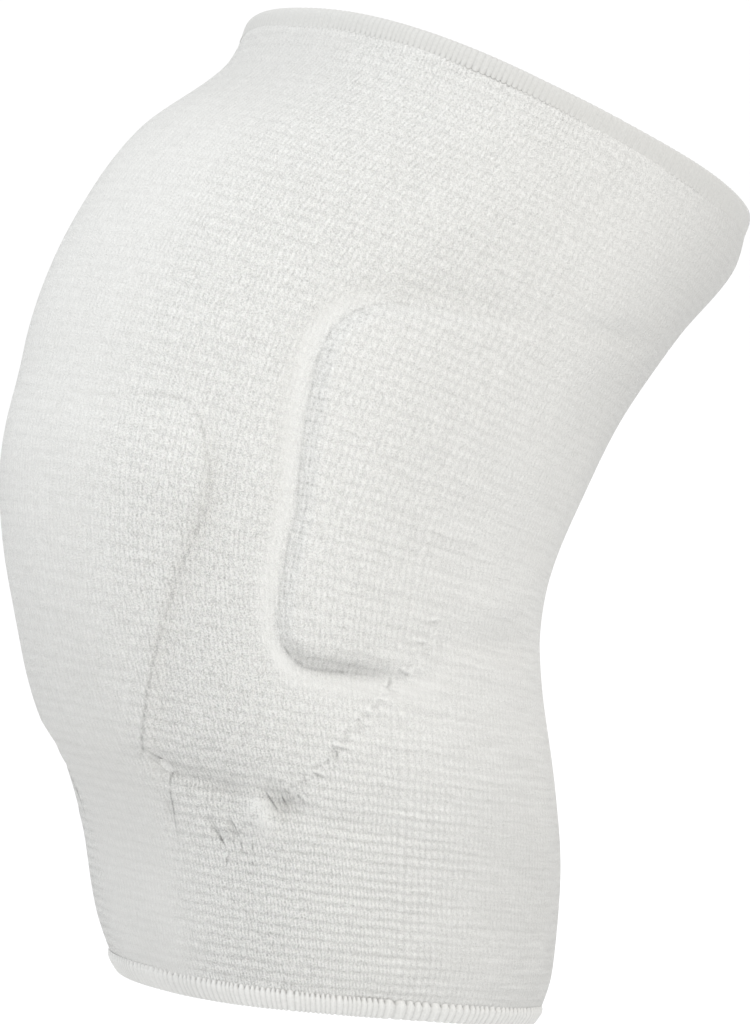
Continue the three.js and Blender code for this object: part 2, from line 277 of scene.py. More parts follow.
def reliefHeight(along, around):
    x, y = np.broadcast_arrays(np.abs(around) * halfGirth, along * sleeveLength)
    kneecapDepth, sideDepth = depthInside(kneecapOutline, x, y), depthInside(sideOutline, x, y)
    riseDepth = depthInside(kneecapRiseOutline, x, y)
    kneecapShare = rising(along, padForm["kneecapFromTop"]) * rising(along, padForm["kneecapFromFoot"])
    fade = rising(np.abs(around), padForm["sideFade"])
    valley = padForm["valley"] * fade * rising(along, padForm["valleyFoot"])
    height = np.zeros(x.shape)
    for name, depth, share in (("kneecapRise", riseDepth, kneecapShare), ("sideRise", sideDepth, fade)):
        rise = smoothShare(depth / padForm["riseWidth"] + padForm["riseStart"])
        height = height + padForm[name] * rise * share
        height = height + padForm["crown"] * smoothShare(depth / padForm["crownReach"]) * share
        height = height - valley * bump((depth + padForm["valleyPlace"]) / padForm["valleyWidth"]) * share
    for spot, reach, width, foldDepth in folds:
        height = height - foldDepth * spotShare(spot, reach, width, x, y)
    return height, kneecapDepth, sideDepth


# The pocket's seam runs round the front half; each corner is (along, around), mirrored on the other side
seamForm = {
    "corners": [
        (0.850, 0.000), (0.844, 0.150), (0.838, 0.290), (0.817, 0.414), (0.727, 0.508),
        (0.640, 0.560), (0.560, 0.590), (0.480, 0.580), (0.396, 0.528), (0.320, 0.470),
        (0.246, 0.375), (0.192, 0.264), (0.150, 0.172), (0.160, 0.000),
    ],
    "reach": 0.006,
    "pullAlong": (0.47, 0.37),  # where the stitching pulls the knit into puckers
    "pullAround": (0.14, 0.22),
    "puckerPitch": 0.0024,
    "puckerHeight": 0.0003,
    "puckerWidth": 0.0018,
    "puckerUneven": 0.4,
    "unevenPitch": 0.37,
}


def seamLine():
    half = [(around * halfGirth, along * sleeveLength) for along, around in seamForm["corners"]]
    loop = np.array(half + [(-x, y) for x, y in half[-2:0:-1]])
    for _ in range(3):  # cut the corners until the line is smooth
        after = np.roll(loop, -1, axis=0)
        loop = np.stack([0.75 * loop + 0.25 * after, 0.25 * loop + 0.75 * after], axis=1).reshape(-1, 2)
    return loop


def seamPlace(x, y):  # distance from the seam and place along it
    away, lengthwise = np.full(np.shape(x), seamForm["reach"]), np.zeros(np.shape(x))
    start = 0.0
    loop = seamLine()
    for a, b in zip(loop, np.roll(loop, -1, axis=0)):
        size = np.linalg.norm(b - a)
        here, s = edgePlace(a, b, x, y)
        lengthwise = np.where(here < away, start + s * size, lengthwise)
        away = np.minimum(away, here)
        start += size
    return away, lengthwise


# Each crisp crease is (along, around, slant) of its middle, then its half length in metres, how dark the
# painted shade in its line is, and how bright the painted highlight on the knit just above it is (below it
# if negative)
creases = [
    ((0.2397, 0.1285, -36), 0.0024, 1.0, 0.5),
    ((0.2245, 0.1340, 71), 0.0029, 0.7, 0.3),
    ((0.1930, 0.1245, 77), 0.0050, 0.9, 0.4),
    ((0.2155, 0.3070, -51), 0.0026, 1.2, -1.2),
    ((0.2190, 0.3280, -60), 0.0016, 1.2, 0.8),
    ((0.2240, 0.3570, -34), 0.0013, 1.0, 1.0),
    ((0.2235, 0.3430, 0), 0.0013, 0.5, 1.6),
    ((0.1830, 0.2320, -64), 0.0022, 0.9, 1.6),
    ((0.1650, 0.2380, 86), 0.0014, 0.9, 0.5),
    ((0.1660, 0.2580, 70), 0.0014, 0.6, 0.6),
    ((0.1690, 0.2010, -46), 0.0024, 1.1, 1.9),
    ((0.1500, 0.2080, 60), 0.0018, 0.8, 1.6),
    ((0.2820, 0.4250, -8), 0.0020, 0.8, 1.1),
    ((0.2740, 0.4180, 80), 0.0012, 0.8, 0.4),
    ((0.2510, 0.3880, -12), 0.0018, 0.7, 1.1),
    ((0.2660, 0.4020, 20), 0.0014, 0.5, 0.6),
    ((0.4040, 0.5170, 4), 0.0016, 0.5, 0.9),
    ((0.4290, 0.5310, 16), 0.0016, 0.5, 0.9),
    ((0.3560, 0.4920, 74), 0.0012, 0.7, 0.9),
    ((0.3700, 0.5030, -20), 0.0014, 0.6, 0.7),
]
creaseWidth = 0.0014

# Each soft patch is placed as a fold is: painted shade, or a painted highlight if its shading is negative
paintedShadingPatches = [
    ((0.228, 0.185, -7), 0.085, 0.0095, 0.07),
    ((0.200, 0.284, -30), 0.024, 0.0042, -0.26),
    ((0.325, 0.430, -5), 0.080, 0.0100, -0.07),
    ((0.435, 0.640, 5), 0.080, 0.0060, 0.04),
    ((0.930, 0.030, 0), 0.120, 0.0200, 0.13),
    ((0.330, 0.030, 0), 0.100, 0.0300, 0.08),
    ((0.510, 0.330, 0), 0.140, 0.0500, -0.06),
    ((0.366, 0.430, 4), 0.060, 0.0050, 0.07),
]


def patchPaintedShading(x, y):
    paintedShading = np.zeros(np.shape(x))
    for spot, reach, width, patch in paintedShadingPatches:
        paintedShading = paintedShading + patch * spotShare(spot, reach, width, np.abs(x), y)
    return paintedShading


def creasePlace(x, y):  # signed distance across the nearest crease, its painted shade and its painted highlight
    away, dark, lit, best = (np.zeros(np.shape(x)) for _ in range(4))
    for spot, half, darkness, brightness in creases:
        lengthwise, across = slantPlace(spot, np.abs(x), y)
        share = bump(lengthwise / half) * bump(across / creaseWidth)
        nearer = share > best
        away = np.where(nearer, across, away)
        dark = np.where(nearer, share * darkness, dark)
        lit = np.where(nearer, share * brightness, lit)
        best = np.maximum(best, share)
    return away, dark, lit


# Mesh code for rings of points


def addObject(name, data):
    thing = bpy.data.objects.new(name, data)
    bpy.context.scene.collection.objects.link(thing)
    return thing


def makeObject(name, points, faces):
    mesh = bpy.data.meshes.new(name)
    mesh.vertices.add(len(points))
    mesh.vertices.foreach_set("co", np.asarray(points, np.float32).ravel())
    faces = np.asarray(faces, np.int32)
    corners = faces.shape[1]
    mesh.loops.add(faces.size)
    mesh.loops.foreach_set("vertex_index", faces.ravel())
    mesh.polygons.add(len(faces))
    mesh.polygons.foreach_set("loop_start", np.arange(len(faces), dtype=np.int32) * corners)
    mesh.polygons.foreach_set("use_smooth", np.ones(len(faces), bool))
    mesh.update(calc_edges=True)
    mesh.validate()
    return addObject(name, mesh)


def ringFaces(rows, columns, closedRows):  # quads between rows of points that each go once round
    r = np.arange(rows if closedRows else rows - 1)[:, None]
    c = np.arange(columns)[None, :]
    r2, c2 = (r + 1) % rows, (c + 1) % columns
    quads = np.stack([r * columns + c, r * columns + c2, r2 * columns + c2, r2 * columns + c], axis=-1)
    return quads.reshape(-1, 4)


def cornerUv(piece, name, u, v, columns, wrap):  # the last column joins the first one, a whole turn on
    mesh = piece.data
    index = np.zeros(len(mesh.loops), np.int32)
    mesh.loops.foreach_get("vertex_index", index)
    faceIndex = index.reshape(-1, 4)
    column = faceIndex % columns
    turnedOn = (column == 0) & (column.max(axis=1, keepdims=True) == columns - 1)
    uCorner = u[faceIndex] + np.where(turnedOn, wrap, 0)
    layer = mesh.uv_layers.new(name=name)
    layer.data.foreach_set("uv", np.stack([uCorner, v[faceIndex]], axis=-1).astype(np.float32).ravel())


def pointValue(piece, name, values):
    attribute = piece.data.attributes.new(name, "FLOAT", "POINT")
    attribute.data.foreach_set("value", np.asarray(values, np.float32).ravel())


# The knitted sleeve

knitForm = {
    "wall": 0.0022,
    "endWall": 0.0013,
    "tuck": 0.0024,  # how far the ends run into the hem bands
    "dipStart": 0.00005,  # how far outside the band's lip the knit starts to go under it
    "dipReach": 0.0011,
    "dip": 0.0007,
    "hemHeight": 0.005,
    "clearance": 0.0003,
    "columns": 400,
    "outerRows": 208,
    "innerRows": 24,
    "sideCrowding": (0.30, 0.20, 0.9),  # where columns or rows lie closer, the reach, how much closer
    "footCrowding": (0.23, 0.09, 1.0),
    "wales": 300,
    "shinPitch": 0.00233,
    "kneePitch": 0.00270,
    "pitchGrows": (0.2, 0.4),
    "pitchShrinks": (0.7, 0.95),
    "thighShrink": 0.4,
    "waver": 0.00018,
}

# How strongly the knit's marks show over the sleeve, how it is worn, and its painted shade. A pair of
# places gives where a change starts and where it is full, and names ending in Spot give a middle and a
# reach.
wearForm = {
    "facingGain": 1.5,  # how sharply the edges of a pad are told apart by the way they face
    "facingStart": 0.4,
    "farAway": 9.0,
    # painted shade lines along the pads' edges, their strength set by the way each edge faces
    "sideFrontLine": 0.45,
    "sideFootLine": 0.8,
    "sideTopLine": 0.25,
    "sideFoot": (0.52, 0.44),
    "sideTop": (0.55, 0.43),
    "kneecapSideLine": 0.38,
    "kneecapLowLine": 0.37,  # added to the side's line lower down
    "kneecapLow": (0.40, 0.28),
    "kneecapFootLine": 0.12,
    "kneecapTopLine": 0.4,
    "kneecapTopSpot": (0.18, 0.08),
    "shin": (0.36, 0.20),
    "padDepth": (0, 0.004),
    "back": (0.42, 0.67),
    "backWear": 0.50,
    "front": (0.17, 0.05),
    "frontWear": 0.35,
    "frontShinWear": 0.30,  # added at the shin
    "kneeRows": 0.42,
    "padRows": 0.08,
    "frontRowLoss": 0.4,
    "shinBack": (0.48, 0.63),
    "shinBackRowLoss": 0.5,
    "low": (0.40, 0.14),
    "lowShade": 0.11,  # painted shade: the knit is darker at the shin and at the back, where less light falls
    "lowFrontShade": 0.06,
    "lowFrontReach": 0.14,
    "shadedBack": (0.52, 0.72),
    "backShade": 0.18,
    "backShadeBelow": 0.30,
    "backShadeTop": (0.5, 0.8),
    "streaksBelow": (0.66, 0.50),
    "streaksBack": (0.38, 0.52),
    "frontStreaks": 0.3,
    "stretchSpot": (-0.0030, 0.0028),
    "stretchLoss": 0.6,
    "roughBelow": (0.56, 0.46),
    "roughSpot": (0.24, 0.14),
    "rough": 0.25,
    "roughLow": 0.45,  # added lower down
    "roughest": 1.8,
    "insideStreaks": 0.3,
    "insideRows": 0.6,
    "insideGrain": 0.8,
}


def endDip(along):  # how far the knit is drawn in under the hem bands
    toEdge = np.minimum(along, 1 - along) * sleeveLength
    return smoothShare((knitForm["hemHeight"] + knitForm["dipStart"] - toEdge) / knitForm["dipReach"])


def waver(along, around):  # slight unevenness of a worn knit
    turn = around * math.pi
    wave = np.sin(3 * turn + 11 * along) * np.sin(23 * along + 2) + np.sin(7 * turn - 17 * along + 1) * 0.6
    return knitForm["waver"] * (wave + 0.5 * np.sin(13 * turn + 5) * np.sin(41 * along))


def crowded(start, end, count, crowding):  # count + 1 places, closer together round the crowding's middle
    middle, reach, closer = crowding
    fine = np.linspace(start, end, 2001)
    density = 1 + closer * bump(((fine[1:] + fine[:-1]) / 2 - middle) / reach)
    share = np.concatenate([[0], np.cumsum(density)])
    return np.interp(np.linspace(0, share[-1], count + 1), share, fine)


def courseNumber(along):
    steps = np.linspace(0, 1, 201)
    knee = rising(steps, knitForm["pitchGrows"])
    knee = knee * (1 - knitForm["thighShrink"] * rising(steps, knitForm["pitchShrinks"]))
    pitch = knitForm["shinPitch"] + (knitForm["kneePitch"] - knitForm["shinPitch"]) * knee
    return np.interp(along, steps, np.concatenate([[0], np.cumsum(sleeveLength / 200 / pitch[1:])]))


def facing(slope):  # 1 where the pad's edge faces this way
    return smoothShare(slope * wearForm["facingGain"] - wearForm["facingStart"])


def spotAt(value, name):
    middle, reach = wearForm[name]
    return bump((value - middle) / reach)


def writeKnitValues(piece, along, around, innerCount, kneecapDepth, sideDepth, away, pull):
    def write(name, values, rest):
        values = np.broadcast_to(values, kneecapDepth.shape)
        pointValue(piece, name, np.concatenate([values, np.full((innerCount, values.shape[1]), rest)]))

    def risen(value, name):
        return rising(value, wearForm[name])

    wear, turn, millimetre = wearForm, np.abs(around), 1000
    nearSide = np.abs(sideDepth) < np.abs(kneecapDepth)
    depth = np.where(nearSide, sideDepth, kneecapDepth)
    inwardUp, inwardBack = np.gradient(depth, along[:, 0] * sleeveLength, around[0] * halfGirth)
    inwardBack = inwardBack * np.sign(around)
    frontEdge, lowEdge, topEdge, backEdge = map(facing, (inwardBack, inwardUp, -inwardUp, -inwardBack))

    sideFoot = lowEdge * risen(turn, "sideFoot")
    sideLine = frontEdge * wear["sideFrontLine"] + sideFoot * wear["sideFootLine"]
    sideLine = sideLine + topEdge * wear["sideTopLine"] * risen(turn, "sideTop")
    kneecapSide = wear["kneecapSideLine"] + wear["kneecapLowLine"] * risen(along, "kneecapLow")
    kneecapLine = backEdge * kneecapSide + lowEdge * wear["kneecapFootLine"]
    kneecapLine = kneecapLine + topEdge * wear["kneecapTopLine"] * spotAt(turn, "kneecapTopSpot")
    write("padEdge", np.clip(depth * millimetre, -wear["farAway"], wear["farAway"]), -wear["farAway"])
    write("edgeShadeLine", np.clip(np.where(nearSide, sideLine, kneecapLine), 0, 1), 0)
    write("edgeStripeShade", np.where(nearSide, frontEdge, 0), 0)
    write("edgeFootShade", np.where(nearSide, sideFoot, 0), 0)
    write("seamAway", away * millimetre, seamForm["reach"] * millimetre)
    write("seamPull", pull, 0)
    x, y = np.broadcast_arrays(around * halfGirth, along * sleeveLength)
    creaseAway, creasePaintedShade, creasePaintedHighlight = creasePlace(x, y)
    write("creaseAway", creaseAway * millimetre, 0)
    write("creasePaintedShade", creasePaintedShade, 0)
    write("creasePaintedHighlight", creasePaintedHighlight, 0)

    shin, front = risen(along, "shin"), risen(turn, "front")
    worn = 1 - wear["backWear"] * risen(turn, "back")
    worn = worn * (1 - front * (wear["frontWear"] + wear["frontShinWear"] * shin))
    # painted shade, darker low down and most at the front there, and at the back most towards the top,
    # with the patches' painted shade and highlights
    lowShade = wear["lowShade"] + wear["lowFrontShade"] * bump(around / wear["lowFrontReach"])
    towardsTop = wear["backShadeBelow"] + (1 - wear["backShadeBelow"]) * risen(along, "backShadeTop")
    paintedShading = risen(along, "low") * lowShade + risen(turn, "shadedBack") * wear["backShade"] * towardsTop
    write("paintedShading", paintedShading + patchPaintedShading(x, y), 0)
    streaks = wear["frontStreaks"] + (1 - wear["frontStreaks"]) * risen(turn, "streaksBack")
    write("streakShare", risen(along, "streaksBelow") * streaks, wear["insideStreaks"])
    kept = 1 - wear["stretchLoss"] * spotAt(sideDepth, "stretchSpot") * (frontEdge + lowEdge) * nearSide
    rows = wear["kneeRows"] + (1 - wear["kneeRows"]) * shin
    rows = (rows + wear["padRows"] * risen(depth, "padDepth") * (1 - shin)) * worn
    rows = rows * (1 - wear["frontRowLoss"] * front)
    rows = rows * (1 - wear["shinBackRowLoss"] * shin * risen(turn, "shinBack"))
    write("rowShare", np.clip(rows * kept, 0, 1), wear["insideRows"])
    rough = 1 + (wear["rough"] + wear["roughLow"] * risen(along, "roughBelow")) * spotAt(turn, "roughSpot")
    write("grainShare", np.clip(worn * rough * kept, 0, wear["roughest"]), wear["insideGrain"])


def makeSleeve():
    knitStart = (knitForm["hemHeight"] + knitForm["clearance"] - knitForm["tuck"]) / sleeveLength
    columns = knitForm["columns"]
    half = crowded(0, 1, columns // 2, knitForm["sideCrowding"])
    around = np.concatenate([-half[:0:-1], half[:-1]])[None, :]
    lipRows = knitForm["dipReach"] * np.linspace(-1, 0, 5)
    lip = (knitForm["hemHeight"] + knitForm["dipStart"] + lipRows) / sleeveLength
    ends = np.concatenate([[knitStart], lip])
    middle = crowded(lip[-1], 1 - lip[-1], knitForm["outerRows"] - 2 * len(lip), knitForm["footCrowding"])
    outerAlong = np.concatenate([ends, middle[1:-1], 1 - ends[::-1]])[:, None]
    innerAlong = np.linspace(1 - knitStart, knitStart, knitForm["innerRows"] + 1)[:, None]
    height, kneecapDepth, sideDepth = reliefHeight(outerAlong, around)
    innerHeight = reliefHeight(innerAlong, around)[0]
    x, y = np.broadcast_arrays(around * halfGirth, outerAlong * sleeveLength)
    away, lengthwise = seamPlace(x, y)
    pull = rising(outerAlong, seamForm["pullAlong"]) * rising(np.abs(around), seamForm["pullAround"])
    turn = 2 * math.pi * lengthwise / seamForm["puckerPitch"]
    uneven = seamForm["puckerUneven"]
    strength = pull * (1 - uneven + uneven * np.sin(seamForm["unevenPitch"] * turn + 1))
    pucker = seamForm["puckerHeight"] * np.sin(turn) * strength * bump(away / seamForm["puckerWidth"])
    outerDip = knitForm["dip"] * endDip(outerAlong)
    thinner = knitForm["wall"] - knitForm["endWall"] - knitForm["dip"]
    wall = knitForm["wall"] - thinner * endDip(innerAlong)
    outside = sleevePoint(outerAlong, around, height + pucker - outerDip + waver(outerAlong, around))
    inside = sleevePoint(innerAlong, around, innerHeight - wall + waver(innerAlong, around))
    rows = np.concatenate([outside, inside])
    piece = makeObject("knitSleeve", rows.reshape(-1, 3), ringFaces(len(rows), columns, True))

    allAlong = np.concatenate([outerAlong, innerAlong])
    aroundHere, alongHere = np.broadcast_arrays(around, allAlong)
    cornerUv(piece, "knit", aroundHere.ravel() * knitForm["wales"] / 2, courseNumber(alongHere).ravel(),
             columns, knitForm["wales"])
    writeKnitValues(piece, outerAlong, around, len(innerAlong), kneecapDepth, sideDepth, away, pull)
    return piece


# The hem bands, folded over the ends of the knit

hemForm = {
    "height": 0.005,
    "proud": 0.0004,
    "thickness": 0.0034,
    "foldHeight": 0.0014,
    "leaf": 0.0007,
    "leafGap": 0.0001,
    "stitchRise": 0.0002,
    "stitchDrop": 0.0003,
    "foldClear": 0.0004,
    "ribPitch": 0.00172,
    "ribRoundness": 2.4,
    "ribMiddle": 0.6,
    "ribShare": 0.5,  # how strong the ribs are on the outer leaf, and how much more at its lip
    "lipRibs": 0.6,
    "lipCrowding": 1.3,
    "lipWave": 0.0012,
    "lipPart": 0.25,  # share of the outer leaf that waves at the lip
    "scallopBelow": 0.0008,
    "samples": 6,
    "shadedFront": (0.24, 0.04),
}

# clearRibs is from where and to where round the band the ribs are clear, and over how much they fade
thighBand = {
    "name": "thighWelt",
    "edge": 1.0,
    "growth": 0.0018,  # how much taller the band is at the back
    "growthPlaces": (0.38, 0.66),
    "ribHeight": 0.00016,
    "bulge": 0.0,
    "lipReach": 0.9,
    "clearRibs": (-0.04, 0.50, 0.20),
    "frontShade": 0.0,
}
shinBand = {
    **thighBand,
    "name": "shinWelt",
    "edge": 0.0,
    "growth": 0.0,
    "ribHeight": 0.00044,
    "bulge": 0.0004,
    "lipReach": 0.3,
    "clearRibs": (-0.04, 1.1, 0.14),
    "frontShade": 0.12,
}


def growTowardsBack(height, around, band):  # height from the edge, the stitch line staying in place
    grown = band["growth"] * rising(np.abs(around), band["growthPlaces"])
    return height - (hemForm["height"] - height) * grown / hemForm["height"]


def weltProfile(band):  # rows of (outward, height from the edge, rib share, place from the lip)
    top, fold, half = hemForm["height"], hemForm["foldHeight"], hemForm["thickness"] / 2
    outer, leaf, share = hemForm["proud"], hemForm["leaf"], hemForm["ribShare"]
    rows = []
    for s in np.linspace(0, 1, 12)[:-1] ** hemForm["lipCrowding"]:
        swell = outer * smoothShare(s / band["lipReach"]) + band["bulge"] * math.sin(math.pi * s)
        ribs = share + hemForm["lipRibs"] * bump(s / hemForm["lipPart"])
        rows.append((swell, top + s * (fold - top), ribs, s))
    for s in np.linspace(0, 1, 9):
        cos, sin = math.cos(math.pi * s), math.sin(math.pi * s)
        rows.append((outer - half + half * cos, fold - fold * sin, share / 2 + share / 2 * cos, 1 + s))
    inner, above = outer - 2 * half, top + hemForm["stitchRise"]
    rows += [(inner, h, 0, 2) for h in np.linspace(fold, top, 5)[1:]] + [(inner + leaf / 2, above, 0, 2)]
    slot = (top - hemForm["stitchDrop"], top / 2, fold + hemForm["foldClear"])  # between the two leaves
    rows += [(inner + leaf, h, 0, 2) for h in slot]
    rows += [(outer - leaf - hemForm["leafGap"], h, 0, 2) for h in slot[::-1]]
    return np.array(rows + [(-leaf / 3, above, 0.3, 0)])


def ribCount(edgeAlong):
    ring = sleevePoint(edgeAlong, np.linspace(-1, 1, 721), 0.0)
    girth = np.linalg.norm(np.diff(ring, axis=0), axis=1).sum()
    return int(round(girth / hemForm["ribPitch"]))


def ribPhase(around, count):  # the ribs' spacing wanders a little
    turn = around * math.pi
    wander = 0.22 * np.sin(9 * turn + 1) + 0.18 * np.sin(23 * turn) + 0.12 * np.sin(41 * turn + 2)
    return around * count / 2 + wander


def makeWelt(band):
    towards = -1 if band["edge"] > 0.5 else 1
    count = ribCount(band["edge"])
    columns = count * hemForm["samples"]
    around = (2 * np.arange(columns) / columns - 1)[None, :]
    profile = weltProfile(band)
    phase = ribPhase(around, count)
    rib = 1 - np.abs(2 * (phase - np.floor(phase)) - 1) ** hemForm["ribRoundness"]
    fromMiddle = rib - hemForm["ribMiddle"]
    outward = profile[:, :1] + band["ribHeight"] * fromMiddle * profile[:, 2:3]
    lip = np.where(profile[:, 3:] < hemForm["lipPart"], hemForm["lipWave"] * fromMiddle, 0)
    lip = lip * profile[:, 2:3] / 2
    scallop = np.where(profile[:, 1:2] < hemForm["scallopBelow"], -band["ribHeight"] * (rib - 0.5), 0)
    height = growTowardsBack(profile[:, 1:2] + lip + scallop, around, band)
    rows = sleevePoint(band["edge"] + towards * height / sleeveLength, around, outward)
    if towards > 0:
        rows, profile = rows[::-1], profile[::-1]
    piece = makeObject(band["name"], rows.reshape(-1, 3), ringFaces(len(rows), columns, True))

    def spread(values):
        return np.broadcast_to(values, rows.shape[:2]).ravel()

    cornerUv(piece, "welt", spread(phase), spread(profile[:, 3:]), columns, count)
    turn = np.abs(around)
    fromFront, toBack, fading = band["clearRibs"]
    clear = smoothShare((turn - fromFront) / fading) * smoothShare((toBack - turn) / fading)
    pointValue(piece, "ribShare", spread(clear))
    # painted shade, darker towards the front of the band (only the shin's has any)
    pointValue(piece, "paintedShading", spread(band["frontShade"] * rising(turn, hemForm["shadedFront"])))
    return piece


# The pads, each a crowned outer face and a flatter inner one that close at a thin rim


def makeCushion(name, outline, thickness, mirror):
    rim = []
    for a, b in zip(outline, np.roll(outline, -1, axis=0)):
        parts = max(1, int(round(np.linalg.norm(b - a) / padForm["rimStep"])))
        rim += [a + (b - a) * s / parts for s in range(parts)]
    rim = np.array(rim)
    middle = rim.mean(axis=0)
    shares = 1 - (1 - np.linspace(0, 1, padForm["rings"] + 1)[1:]) ** padForm["ringCrowding"]
    flat = middle + (rim[None] - middle) * shares[:, None, None]
    along, around = flat[..., 1] / sleeveLength, flat[..., 0] / halfGirth
    depth = np.clip(depthInside(outline, flat[..., 0], flat[..., 1]), 0, None)
    rimDrop = padForm["rimDrop"] * (1 - smoothShare(depth / padForm["rimDropReach"]))
    full = padForm["rimShare"] + (1 - padForm["rimShare"]) * smoothShare(depth / padForm["bevel"])
    below = knitForm["wall"] + padForm["clearance"]
    face = reliefHeight(along, around)[0] - below
    outer = sleevePoint(along, around, face - rimDrop)
    inner = sleevePoint(along, around, face - thickness * full + rimDrop)
    rings = np.concatenate([outer, inner[::-1]])
    middleAlong, middleAround = middle[1] / sleeveLength, middle[0] / halfGirth
    middleFace = float(reliefHeight(np.array([middleAlong]), np.array([middleAround]))[0][0]) - below
    ends = [sleevePoint(middleAlong, middleAround, middleFace),
            sleevePoint(middleAlong, middleAround, middleFace - thickness)]
    points = np.concatenate([rings.reshape(-1, 3), np.array(ends)])
    if mirror:
        points[:, 0] *= -1
    columns = len(rim)
    quads = ringFaces(len(rings), columns, False)
    if not mirror:
        quads = quads[:, ::-1]
    mesh = bpy.data.meshes.new(name)
    first, last = len(points) - 2, len(points) - 1
    lastRing = (len(rings) - 1) * columns
    caps = []
    for k in range(columns):
        nextK = (k + 1) % columns
        capA, capB = [first, nextK, k], [last, lastRing + k, lastRing + nextK]
        caps += [capA, capB] if mirror else [capA[::-1], capB[::-1]]
    mesh.from_pydata(points.tolist(), [], quads.tolist() + caps)
    mesh.polygons.foreach_set("use_smooth", np.ones(len(mesh.polygons), bool))
    mesh.update()
    return addObject(name, mesh)


# Materials


def startMaterial(name):
    material = bpy.data.materials.new(name)
    material.use_nodes = True
    tree = material.node_tree
    shader = tree.nodes["Principled BSDF"]
    return material, tree, shader


def feed(tree, socket, value):
    if isinstance(value, (int, float)):
        socket.default_value = value
    else:
        tree.links.new(value, socket)


def calc(tree, operation, first, second=None):
    node = tree.nodes.new("ShaderNodeMath")
    node.operation = operation
    feed(tree, node.inputs[0], first)
    if second is not None:
        feed(tree, node.inputs[1], second)
    return node.outputs[0]


def product(tree, first, *others):
    for other in others:
        first = calc(tree, "MULTIPLY", first, other)
    return first


def total(tree, first, *others):
    for other in others:
        first = calc(tree, "ADD", first, other)
    return first


def less(tree, first, second):
    return calc(tree, "SUBTRACT", first, second)


def roundWave(tree, value, sharpness):  # 1 in the middle of each unit of the value, 0 at its ends
    centred = calc(tree, "ABSOLUTE", less(tree, product(tree, calc(tree, "FRACT", value), 2.0), 1.0))
    return less(tree, 1.0, calc(tree, "POWER", centred, sharpness))


def bell(tree, value, middle, width):  # 1 where the value is at the middle, fading out past the width
    scaled = calc(tree, "DIVIDE", less(tree, value, middle), width)
    return calc(tree, "EXPONENT", product(tree, scaled, scaled, -1.0))


def stored(tree, name):
    node = tree.nodes.new("ShaderNodeAttribute")
    node.attribute_name = name
    return node.outputs["Fac"]


def clothPlaces(tree, uvName):  # the place in the object, and the two values of the UV map
    uv = tree.nodes.new("ShaderNodeUVMap")
    uv.uv_map = uvName
    parts = tree.nodes.new("ShaderNodeSeparateXYZ")
    tree.links.new(uv.outputs["UV"], parts.inputs[0])
    return tree.nodes.new("ShaderNodeTexCoord").outputs["Object"], parts.outputs["X"], parts.outputs["Y"]


def noise(tree, coordinates, scale, detail=2.0):
    node = tree.nodes.new("ShaderNodeTexNoise")
    node.inputs["Scale"].default_value = scale
    node.inputs["Detail"].default_value = detail
    tree.links.new(coordinates, node.inputs["Vector"])
    return node.outputs["Fac"]


def mixColour(tree, factor, dark, light):
    node = tree.nodes.new("ShaderNodeMix")
    node.data_type = "RGBA"
    feed(tree, node.inputs["Factor"], factor)
    node.inputs[6].default_value = (*dark, 1)
    node.inputs[7].default_value = (*light, 1)
    return node.outputs[2]


def finishCloth(tree, shader, height, colour, look):
    bumpNode = tree.nodes.new("ShaderNodeBump")
    bumpNode.inputs["Distance"].default_value = look["bumpDistance"]
    bumpNode.inputs["Strength"].default_value = look["bumpStrength"]
    tree.links.new(height, bumpNode.inputs["Height"])
    tree.links.new(bumpNode.outputs["Normal"], shader.inputs["Normal"])
    tree.links.new(colour, shader.inputs["Base Color"])
    shader.inputs["Roughness"].default_value = look["roughness"]
    shader.inputs["Specular IOR Level"].default_value = look["specular"]
    shader.inputs["Sheen Weight"].default_value = look["sheen"]
    shader.inputs["Sheen Roughness"].default_value = look["sheenRoughness"]


clothLook = {
    "roughness": 0.95,
    "specular": 0.2,
    "sheen": 0.1,
    "sheenRoughness": 0.5,
}

knitLook = {
    **clothLook,
    "light": (0.782, 0.776, 0.752),
    "dark": (0.272, 0.268, 0.258),
    "tone": 0.67,
    "contrast": 0.45,
    "bumpDistance": 0.0005,
    "bumpStrength": 0.7,
    "driftScale": 160.0,  # the stitches wander a little
    "courseDrift": 0.5,
    "waleDrift": 0.9,
    "rowRoundness": 2.2,
    "rowHeight": 0.22,
    "waleLean": 0.2,
    "strandRoundness": 1.3,
    "strandHeight": 0.14,
    "dotRoundness": 0.9,
    "dotHeight": 0.5,
    "fleckScale": 1.5,
    "fleckHeight": 0.7,
    "fuzzScale": 2600.0,
    "fuzzHeight": 2.0,
    "streaks": 0.6,
    "streakLength": 0.09,
    "streakCount": 2.6,
    "edgeWidth": 0.45,
    "edgeDepth": 0.8,
    "brokenScale": 420.0,  # the lines along the pads' edges are broken up
    "broken": 1.7,
    "stripes": 1.3,
    "stripePitch": 0.85,
    "stripeRoundness": 1.4,
    "stripeSpot": (1.5, 1.5),
    "stripeDepth": 0.5,
    "knotTop": 1.15,
    "knotsPerCourse": 2.0,
    "knotRoundness": 1.2,
    "fallKnots": 0.25,
    "fallSpot": (1.6, 2.2),
    "footShade": 0.85,
    "seamWidth": 2.1,
    "lumpLength": 0.5,
    "lumpCount": 1.5,
    "lumpMiddle": 0.47,
    "patchScale": 75.0,
    "patches": 10.0,
    "puckerPaintedShading": 0.40,
    "puckerHeight": 0.8,
    "creaseLine": 0.45,
    "creaseDepth": 1.5,
    "creaseHighlightOffset": 0.8,
    "creaseHighlightWidth": 0.56,
}


